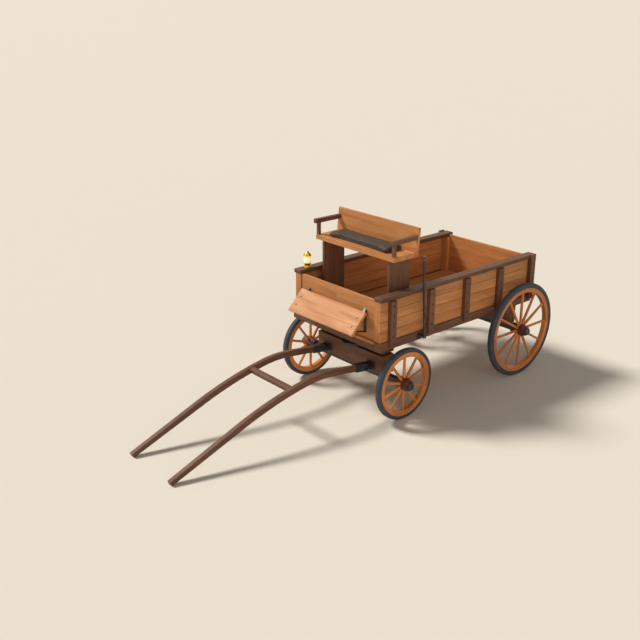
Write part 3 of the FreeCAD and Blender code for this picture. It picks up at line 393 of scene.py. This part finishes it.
def lamp_glass(name):
    """Frosted, lit glass: a warm glow, a little stronger in the middle of the chimney's height."""
    sheet = Sheet(name)
    place = sheet.place()
    up = sheet.split(place)[2]
    cloud = sheet.noise(place, 30.0, 2.0, 0.5)
    height = sheet.maths("ABSOLUTE", sheet.maths("SUBTRACT", up, GLASS_MIDDLE_Z))
    glow = sheet.spread(height, 0.0, GLASS_HALF_HEIGHT, 0.6, 0.4)
    sheet.link(glow, sheet.shader.inputs["Emission Strength"])
    sheet.shader.inputs["Emission Color"].default_value = GLOW
    return sheet.finish(sheet.blend(cloud, GLASS, GLASS_WARM), 0.35, 0.0, 0.5)


def body_paints():
    """Timber finishes of the box, the seat, the running gear, the shafts and the brake's grip."""
    light = (LIGHT, LIGHT_DARK)
    dark = (DARK, DARK_DARK)
    rail = (RAIL, RAIL_DARK)
    side_low, side_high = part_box("left_side_boards")
    side_pitch = (side_high.z - side_low.z + BOARD_SEAM) / SIDE_BOARD_COUNT
    floor_low, floor_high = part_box("floor_boards")
    floor_pitch = (floor_high.x - floor_low.x + BOARD_SEAM) / FLOOR_BOARD_COUNT
    by_side = (1.0, WHOLE, WHOLE)
    from_middle = (-0.5, FAR, FAR)
    side = timber("side_boards_timber", light, "Y", (1.0, WHOLE, side_pitch),
                  (-0.5, FAR, side_low.z - BOARD_SEAM / 2))
    return {
        "floor_boards": timber("floor_timber", light, "Y", (floor_pitch, WHOLE, WHOLE),
                               (floor_low.x - BOARD_SEAM / 2, FAR, FAR), 0.6),
        "left_side_boards": side,
        "right_side_boards": side,
        "front_panel": timber("front_panel_timber", light, "X"),
        "corner_cleats": timber("cleat_timber", light, "Z", (0.6, 1.0, WHOLE)),
        "footboard": timber("footboard_timber", light, "X", start=(FAR, FAR, FAR)),
        "seat_board": timber("seat_board_timber", light, "X", start=(FAR - 1, FAR, FAR)),
        "seat_back": timber("seat_back_timber", light, "X", start=(FAR - 2, FAR, FAR)),
        "tailgate_panel": timber("tailgate_timber", light, "X", start=(FAR - 3, FAR, FAR)),
        "side_sills": timber("sill_timber", dark, "Y", by_side, from_middle),
        "cross_sills": timber("cross_sill_timber", dark, "X", (WHOLE, 0.35, WHOLE), (FAR, 0.0, FAR)),
        "side_posts": timber("post_timber", dark, "Z", (1.0, POST_SPACING, WHOLE), (-0.5, -0.29, FAR)),
        "top_rails": timber("rail_timber", rail, "Y", by_side, from_middle),
        "seat_risers": timber("riser_timber", dark, "Z", by_side, from_middle),
        "armrests": timber("armrest_timber", dark, "Y", by_side, from_middle, 0.42),
        "front_bolster": timber("front_bolster_timber", dark, "X"),
        "rear_bolster": timber("rear_bolster_timber", dark, "X"),
        "reach_pole": timber("reach_timber", dark, "Y"),
        "axle_bed": timber("axle_bed_timber", dark, "X"),
        "left_shaft": timber("left_shaft_timber", dark, "Y", rough=0.42),
        "right_shaft": timber("right_shaft_timber", dark, "Y", rough=0.42),
        "shaft_crossbar": timber("crossbar_timber", dark, "X", rough=0.42),
        "brake_grip": timber("grip_timber", (GRIP, GRIP_DARK), "Z", rough=0.35),
    }


def wheels():
    """Name, end and centre of each wheel, from the joints that it turns on."""
    found = []
    for joint in frame["joints"]:
        name = joint["child"]
        if name.endswith("_wheel"):
            found.append((name[:-len("_wheel")], name.split("_")[0], Vector(joint["pos_m"])))
    return found


iron = forged("forged_iron")
tyre_rubber = rubber("tyre_rubber")
polished = brass("lantern_brass")
hide = leather("cushion_leather_dark")

paint = body_paints()
for name in ("footboard_brackets", "brake_lever", "brake_bracket", "turntable_top", "turntable_bottom",
             "rear_axle", "front_axle", "hinge_brackets", "shaft_couplings", "shaft_sockets",
             "tailgate_straps"):
    paint[name] = iron
paint["lantern_metal"] = polished
paint["lantern_glass"] = lamp_glass("frosted_glass")
paint["seat_cushion"] = hide
for wheel, end, centre in wheels():
    count = WHEEL_SPOKES[end]
    paint[f"{wheel}_tyre"] = tyre_rubber
    paint[f"{wheel}_rim"] = wheel_timber(f"{wheel}_felloe_timber", centre, count // 2, False)
    paint[f"{wheel}_spokes"] = wheel_timber(f"{wheel}_spoke_timber", centre, count, True)
    paint[f"{wheel}_hub"] = hub_timber(f"{wheel}_hub_timber", centre)
    paint[f"{wheel}_hub_cap"] = iron
for name, thing in frame["nodes"].items():
    thing.data.materials.clear()
    thing.data.materials.append(paint[name])


# Shapes.

def mesh_piece(name, points, faces, material, body, smooth_below):
    """Piece from points and faces, shaded smooth except over edges sharper than the angle."""
    mesh = bpy.data.meshes.new(name)
    mesh.from_pydata([tuple(p) for p in points], [], faces)
    mesh.validate()
    mesh.shade_smooth()
    mesh.set_sharp_from_angle(angle=math.radians(smooth_below))
    mesh.materials.append(material)
    thing = bpy.data.objects.new(name, mesh)
    bpy.context.scene.collection.objects.link(thing)
    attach(thing, body)
    return thing


def ring_faces(rings, around, closed=False):
    """Quads between rings of points: ring i, point j to ring i + 1, point j + 1, both wrapping round."""
    i, j = np.meshgrid(np.arange(rings if closed else rings - 1), np.arange(around), indexing="ij")
    after = (j + 1) % around
    up = (i + 1) % rings
    quads = np.stack([i * around + j, i * around + after, up * around + after, up * around + j], -1)
    return quads.reshape(-1, 4).tolist()


def fan_faces(rings, around):
    """Triangles that close the first and the last ring on two points, which follow the rings."""
    first = rings * around
    top = (rings - 1) * around
    faces = [[first, (j + 1) % around, j] for j in range(around)]
    faces += [[first + 1, top + j, top + (j + 1) % around] for j in range(around)]
    return faces


def turned_about_x(profile, centre, around):
    """Ring-shaped solid: point (a, r) of the closed profile goes to
    (cx + a, cy + r sin t, cz + r cos t) for t round a full turn."""
    profile = np.array(profile, float)
    turn = np.arange(around) * 2 * math.pi / around
    a = np.repeat(profile[:, :1], around, 1)
    r = profile[:, 1:2]
    points = np.stack([centre[0] + a, centre[1] + r * np.sin(turn), centre[2] + r * np.cos(turn)], -1)
    return points.reshape(-1, 3), ring_faces(len(profile), around, True)


def turned_solid(profile, centre, axis, around):
    """Turned solid whose profile of (height, radius) starts and ends on the axis: each inner point
    becomes a circle square to the axis, and the two end points close it with fans."""
    axis = Vector(axis).normalized()
    side = axis.orthogonal().normalized()
    other = axis.cross(side)
    profile = np.array(profile, float)
    turn = np.arange(around) * 2 * math.pi / around
    circle = np.outer(np.cos(turn), side) + np.outer(np.sin(turn), other)
    middle = np.array(centre) + profile[:, :1] * np.array(axis)
    inner = profile[1:-1]
    rings = (middle[1:-1, None, :] + inner[:, 1][:, None, None] * circle[None]).reshape(-1, 3)
    points = np.concatenate([rings, middle[:1], middle[-1:]])
    return points, ring_faces(len(inner), around) + fan_faces(len(inner), around)


def gathered(parts):
    """Points and faces of several shapes as one."""
    points, faces, count = [], [], 0
    for part_points, part_faces in parts:
        points.append(np.asarray(part_points))
        faces += [[k + count for k in face] for face in part_faces]
        count += len(part_points)
    return np.concatenate(points), faces


def dome(place, axis, size):
    """Domed bolt head on a washer: a quarter-round profile over a thin disc."""
    radius, height = size
    washer = radius * WASHER_SHARE
    foot = height * WASHER_HEIGHT_SHARE
    angles = np.linspace(0, math.pi / 2, DOME_ANGLES)
    profile = [(0, 0), (0, washer), (foot, washer), (foot, radius)]
    profile += [(foot + (height - foot) * math.sin(t), radius * math.cos(t)) for t in angles[1:-1]]
    profile.append((height, 0))
    return turned_solid(profile, place, axis, DOME_SIDES)


def cord_loop(path, radius, around=10):
    """Round cord along a closed path: each point carries a circle square to the path's tangent,
    on axes made from the tangent and straight up."""
    path = np.array(path, float)
    tangent = np.roll(path, -1, 0) - np.roll(path, 1, 0)
    tangent /= np.linalg.norm(tangent, axis=1, keepdims=True)
    out = np.cross(tangent, np.array([0.0, 0.0, 1.0]))
    out /= np.linalg.norm(out, axis=1, keepdims=True)
    over = np.cross(out, tangent)
    turn = np.arange(around) * 2 * math.pi / around
    ring = out[:, None, :] * np.cos(turn)[None, :, None] + over[:, None, :] * np.sin(turn)[None, :, None]
    points = (path[:, None, :] + radius * ring).reshape(-1, 3)
    return points, ring_faces(len(path), around, True)


# Wheels.

def tyre_profile(outer, inner, half_width):
    """Closed profile of a tyre: flat on the rim, then one superellipse arch from side to side."""
    base = inner + TYRE_SIDE_FOOT
    t = np.linspace(0, math.pi, 25)
    arch_a = -half_width * np.sign(np.cos(t)) * np.abs(np.cos(t)) ** TYRE_CROWN_POWER
    arch_r = base + (outer - base) * np.abs(np.sin(t)) ** TYRE_CROWN_POWER
    seat = half_width - TYRE_SEAT_EDGE
    return [(seat, inner), (-seat, inner)] + list(zip(arch_a, arch_r))


def crowned_tyre(wheel, end, centre):
    """Tyre with a crowned tread and rounded shoulders. The wheel's centre is one radius up."""
    outer = centre.z
    profile = tyre_profile(outer, outer - TYRE_DEPTH[end], TYRE_HALF_WIDTH)
    points, faces = turned_about_x(profile[::-1], centre, TYRE_SIDES)
    tyre = mesh_piece(f"{wheel}_crowned_tyre", points, faces, tyre_rubber, f"{wheel}_wheel", 50.0)
    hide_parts(f"{wheel}_tyre")


def hub_bands(wheel, centre):
    """Iron bands round the two ends of the hub."""
    sign = 1 if centre.x > 0 else -1
    bands = []
    for start, end, radius in HUB_BANDS:
        inner = radius - HUB_BAND_DEPTH
        profile = [(sign * start, inner), (sign * start, radius), (sign * end, radius), (sign * end, inner)]
        ordered = profile if sign < 0 else profile[::-1]
        bands.append(turned_about_x(ordered, centre, HUB_BAND_SIDES))
    points, faces = gathered(bands)
    mesh_piece(f"{wheel}_hub_bands", points, faces, iron, f"{wheel}_wheel", 30.0)


# Bolt heads.

def bolts(name, heads, body):
    """Bolt heads joined in one iron piece."""
    points, faces = gathered(heads)
    mesh_piece(name, points, faces, iron, body, 30.0)


def post_bolts():
    """One bolt through each side board and one in the tongue, on each post."""
    low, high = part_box("left_side_boards")
    pitch = (high.z - low.z + BOARD_SEAM) / SIDE_BOARD_COUNT
    start = low.z - BOARD_SEAM / 2
    heights = [POST_TONGUE_BOLT_Z] + [start + pitch * (k + 0.5) for k in range(SIDE_BOARD_COUNT)]
    heads = []
    for i in range(POST_COUNT):
        y = FIRST_POST_Y + POST_SPACING * i
        x = LAST_POST_FACE_X if i == POST_COUNT - 1 else POST_FACE_X
        heads += [dome((s * x, y, z), (s, 0, 0), POST_BOLT) for s in (-1, 1) for z in heights]
    bolts("post_bolts", heads, "wagon_body")


def footboard_bolts():
    """Two bolts over each bracket, square to the footboard's slanted face."""
    fall_y = FOOTBOARD_BOTTOM[0] - FOOTBOARD_TOP[0]
    fall_z = FOOTBOARD_BOTTOM[1] - FOOTBOARD_TOP[1]
    length = math.hypot(fall_y, fall_z)
    outward = (0, fall_z / length, -fall_y / length)
    heads = []
    for share in FOOTBOARD_BOLT_SHARES:
        y = FOOTBOARD_TOP[0] + fall_y * share
        z = FOOTBOARD_TOP[1] + fall_z * share
        heads += [dome((s * FOOTBOARD_BOLT_X, y, z), outward, FOOTBOARD_BOLT) for s in (-1, 1)]
    bolts("footboard_bolts", heads, "wagon_body")


def brake_plate_bolts():
    """A bolt on each side of the lever, in the plate on the sill."""
    x, y, z = PLATE_FACE
    offsets = (-PLATE_BOLT_OFFSET, PLATE_BOLT_OFFSET)
    bolts("brake_plate_bolts", [dome((x, y + dy, z), (1, 0, 0), PLATE_BOLT) for dy in offsets], "wagon_body")


def strap_bolts():
    """Bolts up each hinge strap of the tailgate."""
    heads = [dome((s * STRAP_X, STRAP_FACE_Y, STRAP_FOOT_Z + h), (0, 1, 0), STRAP_BOLT)
             for s in (-1, 1) for h in STRAP_BOLT_HEIGHTS]
    bolts("strap_bolts", heads, "tailgate")


# Lantern.

def lantern_brasswork():
    """Turned base and cap of the lantern, above and below its glass."""
    turned = [turned_solid(profile, LANTERN_PLACE, (0, 0, 1), LANTERN_SIDES)
              for profile in (LANTERN_BASE, LANTERN_CAP)]
    points, faces = gathered(turned)
    body = mesh_piece("lantern_brasswork", points, faces, polished, "wagon_body", 30.0)
    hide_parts("lantern_metal")


# Cushion. Its cover swells under inner pressure inside the cushion's space.

def puffed(low, high, rings=40, around=96):
    """Superellipsoid in a box: x and y follow the cosine and sine of the turn and z the sine of
    the height angle, each raised to a small power that keeps its sign."""
    def raised(value):
        return np.sign(value) * np.abs(value) ** COVER_POWER
    middle = (np.array(low) + np.array(high)) / 2
    half = (np.array(high) - np.array(low)) / 2
    tall = np.linspace(-math.pi / 2, math.pi / 2, rings + 2)[1:-1]
    turn = np.arange(around) * 2 * math.pi / around
    v, u = np.meshgrid(tall, turn, indexing="ij")
    spread = np.abs(np.cos(v)) ** COVER_POWER
    points = np.stack([half[0] * spread * raised(np.cos(u)), half[1] * spread * raised(np.sin(u)),
                       half[2] * raised(np.sin(v))], -1).reshape(-1, 3) + middle
    ends = np.array([[middle[0], middle[1], low[2]], [middle[0], middle[1], high[2]]])
    return np.concatenate([points, ends]), ring_faces(rings, around) + fan_faces(rings, around)


def apply_modifiers(thing):
    """Swap the object's mesh for the one that its modifiers give now."""
    graph = bpy.context.evaluated_depsgraph_get()
    made = bpy.data.meshes.new_from_object(thing.evaluated_get(graph))
    thing.modifiers.clear()
    thing.data = made


def swell(thing):
    """Fill the cover by a cloth simulation with inner pressure and no gravity."""
    cloth = thing.modifiers.new("stuffing", "CLOTH")
    cloth.settings.quality = 5
    cloth.settings.use_pressure = True
    cloth.settings.uniform_pressure_force = CLOTH_PRESSURE
    cloth.settings.bending_stiffness = CLOTH_STIFFNESS
    cloth.settings.effector_weights.gravity = 0.0
    for number in range(1, CLOTH_FRAMES + 1):
        bpy.context.scene.frame_set(number)
    apply_modifiers(thing)
    bpy.context.scene.frame_set(1)


def hold_inside(thing, low, high):
    """Hold every point of the mesh in a box, and return the points."""
    co = np.zeros(len(thing.data.vertices) * 3, np.float32)
    thing.data.vertices.foreach_get("co", co)
    co = np.clip(co.reshape(-1, 3), low, high)
    thing.data.vertices.foreach_set("co", co.astype(np.float32).ravel())
    thing.data.update()
    return co


def cushion_cover(low, high):
    """Stuffed leather cover. Returns a search tree of its surface for the piping."""
    points, faces = puffed(low + COVER_INSET_LOW, high - COVER_INSET_HIGH)
    cushion = mesh_piece("cushion_cover", points, faces, hide, "wagon_body", 180.0)
    remesh = cushion.modifiers.new("even", "REMESH")
    remesh.mode = "VOXEL"
    remesh.voxel_size = COVER_VOXEL
    apply_modifiers(cushion)
    swell(cushion)
    co = hold_inside(cushion, np.array(low) + SPACE_MARGIN_LOW, np.array(high) - SPACE_MARGIN_HIGH)
    cushion.data.shade_smooth()
    if not cushion.data.materials:
        cushion.data.materials.append(hide)
    tree = BVHTree.FromPolygons([tuple(p) for p in co], [tuple(p.vertices) for p in cushion.data.polygons])
    smooth = cushion.modifiers.new("soft", "SUBSURF")
    smooth.levels = 1
    smooth.render_levels = 1
    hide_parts("seat_cushion")
    return tree


def piping_path(tree, middle, height):
    """Closed path round the cover at a height: rays from a wide superellipse in to the cover,
    then smoothed four times with the weights 1, 2, 1."""
    path = []
    for t in np.arange(PIPING_POINTS) * 2 * math.pi / PIPING_POINTS:
        out_x = np.sign(math.cos(t)) * abs(math.cos(t)) ** RAY_START_POWER
        out_y = np.sign(math.sin(t)) * abs(math.sin(t)) ** RAY_START_POWER
        far = Vector((middle[0] + RAY_START_X * out_x, middle[1] + RAY_START_Y * out_y, height))
        near = Vector((RAY_AIM_SHARE * far.x, middle[1], height))
        hit = tree.ray_cast(far, (near - far).normalized())
        if hit[0] is not None:
            path.append(hit[0])
    path = np.array(path)
    for _ in range(4):
        path = (np.roll(path, 1, 0) + 2 * path + np.roll(path, -1, 0)) / 4
    return path


def cushion_piping(tree, low, high):
    """Piping round the cushion's lower and upper edges, laid on the cover."""
    middle = (np.array(low) + np.array(high)) / 2
    loops = []
    for height in (low.z + PIPING_LOW, high.z - PIPING_HIGH):
        path = piping_path(tree, middle, height)
        path = np.clip(path, np.array(low) + PIPING_MARGIN, np.array(high) - PIPING_MARGIN)
        loops.append(cord_loop(path, PIPING_RADIUS))
    points, faces = gathered(loops)
    mesh_piece("cushion_piping", points, faces, hide, "wagon_body", 60.0)


# Floor, light and camera.

def lay_ground():
    """Plain pale floor that fills the view."""
    half = GROUND_HALF
    mesh = bpy.data.meshes.new("ground")
    corners = [(-half, -half, 0), (half, -half, 0), (half, half, 0), (-half, half, 0)]
    mesh.from_pydata(corners, [], [(0, 1, 2, 3)])
    mesh.materials.append(Sheet("pale_floor").finish(FLOOR_COLOUR, 0.95, 0.0, 0.1))
    ground = bpy.data.objects.new("ground", mesh)
    bpy.context.scene.collection.objects.link(ground)


def sunlight(name, travel, energy, spread, colour):
    """Parallel light that travels along a direction."""
    light = bpy.data.lights.new(name, "SUN")
    light.energy = energy
    light.angle = math.radians(spread)
    light.color = colour
    thing = bpy.data.objects.new(name, light)
    thing.rotation_euler = Vector(travel).to_track_quat("-Z", "Y").to_euler()
    bpy.context.scene.collection.objects.link(thing)


def sky():
    """Even pale light, and the background's own colour where it is seen, reflected or seen through."""
    world = bpy.data.worlds.new("pale")
    bpy.context.scene.world = world
    world.use_nodes = True
    tree = world.node_tree
    soft = tree.nodes["Background"]
    soft.inputs["Color"].default_value = SKY_LIGHT
    soft.inputs["Strength"].default_value = SKY_STRENGTH
    seen = tree.nodes.new("ShaderNodeBackground")
    seen.inputs["Color"].default_value = BACKGROUND
    ray = tree.nodes.new("ShaderNodeLightPath")
    share = ray.outputs["Is Camera Ray"]
    for kind in ("Is Glossy Ray", "Is Transmission Ray"):
        either = tree.nodes.new("ShaderNodeMath")
        either.operation = "MAXIMUM"
        tree.links.new(share, either.inputs[0])
        tree.links.new(ray.outputs[kind], either.inputs[1])
        share = either.outputs[0]
    mix = tree.nodes.new("ShaderNodeMixShader")
    tree.links.new(share, mix.inputs[0])
    tree.links.new(soft.outputs[0], mix.inputs[1])
    tree.links.new(seen.outputs[0], mix.inputs[2])
    tree.links.new(mix.outputs[0], tree.nodes["World Output"].inputs["Surface"])


def place_camera():
    """Camera ahead of the wagon on its left, above head height."""
    data = bpy.data.cameras.new("camera")
    data.lens = CAMERA_LENS
    data.sensor_width = CAMERA_SENSOR
    camera = bpy.data.objects.new("camera", data)
    camera.location = CAMERA_PLACE
    look = Vector(CAMERA_TARGET) - Vector(CAMERA_PLACE)
    camera.rotation_euler = look.to_track_quat("-Z", "Y").to_euler()
    bpy.context.scene.collection.objects.link(camera)
    bpy.context.scene.camera = camera


for wheel, end, centre in wheels():
    crowned_tyre(wheel, end, centre)
    hub_bands(wheel, centre)
post_bolts()
footboard_bolts()
brake_plate_bolts()
strap_bolts()
lantern_brasswork()
cushion_low, cushion_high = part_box("seat_cushion")
cover_tree = cushion_cover(cushion_low, cushion_high)
cushion_piping(cover_tree, cushion_low, cushion_high)

lay_ground()
sunlight("sun", **SUN)
sunlight("fill", **FILL)
sky()
place_camera()
bpy.context.scene.view_settings.view_transform = "Standard"
